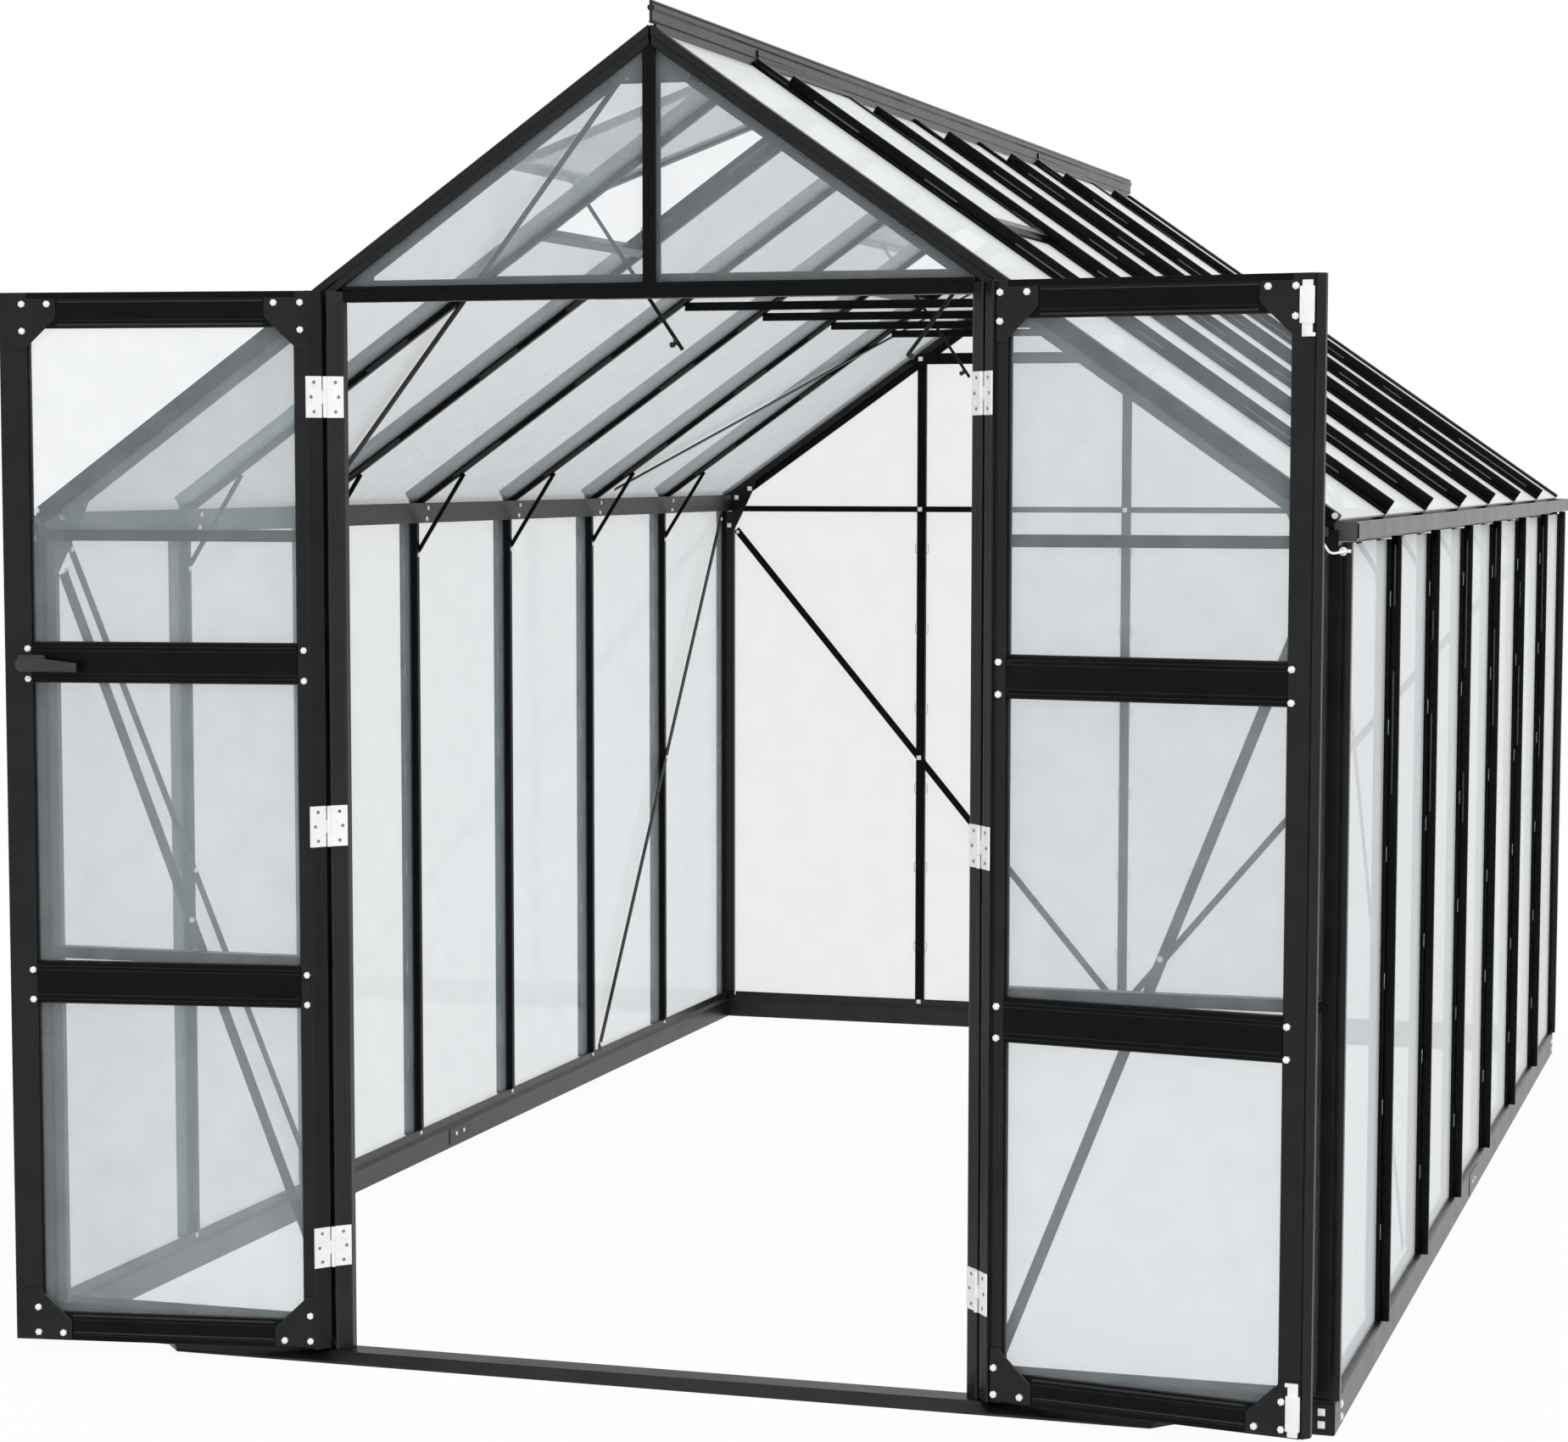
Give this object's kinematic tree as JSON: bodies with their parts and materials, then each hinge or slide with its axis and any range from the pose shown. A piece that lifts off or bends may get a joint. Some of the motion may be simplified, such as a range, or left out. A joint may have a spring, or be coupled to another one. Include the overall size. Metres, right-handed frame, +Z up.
{
  "type": "greenhouse",
  "caption": "Gable-roofed walk-in glass greenhouse with a dark aluminium frame, double side-hung glazed doors folded back, roof vents, eave gutters and a ridge rail.",
  "frame": {"origin": "on the ground under the middle of the doorway, in the plane of the front glass", "axes": "+X to the right seen from the front, +Y from the front to the rear, +Z up"},
  "size_m": [2.54, 4.5384, 2.512],
  "materials": {
    "dark_frame": "satin",
    "clear_glass": "clear",
    "zinc_fitting": "zinc plated",
    "black_plastic": "moulded"
  },
  "bodies": {
    "frame": {"base_rails_side": "dark_frame", "base_rail_rear": "dark_frame", "base_rails_front": "dark_frame", "door_sill": "dark_frame", "corner_posts": "dark_frame", "side_posts": "dark_frame", "rear_mullions": "dark_frame", "door_posts": "dark_frame", "door_head_rail": "dark_frame", "gable_mullion": "dark_frame", "front_panel_rails": "dark_frame", "rear_tie_rails": "dark_frame", "gable_rafters": "dark_frame", "roof_bars": "dark_frame", "ridge": "dark_frame", "eave_beams": "dark_frame", "gutters": "dark_frame", "collar_ties": "dark_frame", "knee_braces": "dark_frame", "wall_braces": "dark_frame", "roof_braces": "dark_frame", "gusset_plates": "dark_frame", "side_wall_panes": "clear_glass", "rear_panes": "clear_glass", "front_panel_panes": "clear_glass", "gable_panes": "clear_glass", "roof_panes": "clear_glass", "vent_sills": "dark_frame", "vent_sashes": "dark_frame", "vent_panes": "clear_glass", "vent_stays": "dark_frame", "stay_hooks": "zinc_fitting", "hinge_plates_fixed": "zinc_fitting"},
    "left_leaf": {"left_leaf_stiles": "dark_frame", "left_leaf_rails": "dark_frame", "left_leaf_panes": "clear_glass", "left_leaf_gussets": "dark_frame", "left_leaf_hinges": "zinc_fitting", "left_leaf_handle": "black_plastic"},
    "right_leaf": {"right_leaf_stiles": "dark_frame", "right_leaf_rails": "dark_frame", "right_leaf_panes": "clear_glass", "right_leaf_gussets": "dark_frame", "right_leaf_hinges": "zinc_fitting", "right_leaf_bolts": "zinc_fitting"}
  },
  "joints": [
    {"name": "left_leaf_hinge", "type": "hinge", "parent": "frame", "child": "left_leaf", "pos_m": [-0.621, -0.044, 1.014], "axis": [0, 0, 1], "range_deg": [0, 170.85]},
    {"name": "right_leaf_hinge", "type": "hinge", "parent": "frame", "child": "right_leaf", "pos_m": [0.621, -0.044, 1.014], "axis": [0, 0, -1], "range_deg": [0, 170.85]}
  ]
}
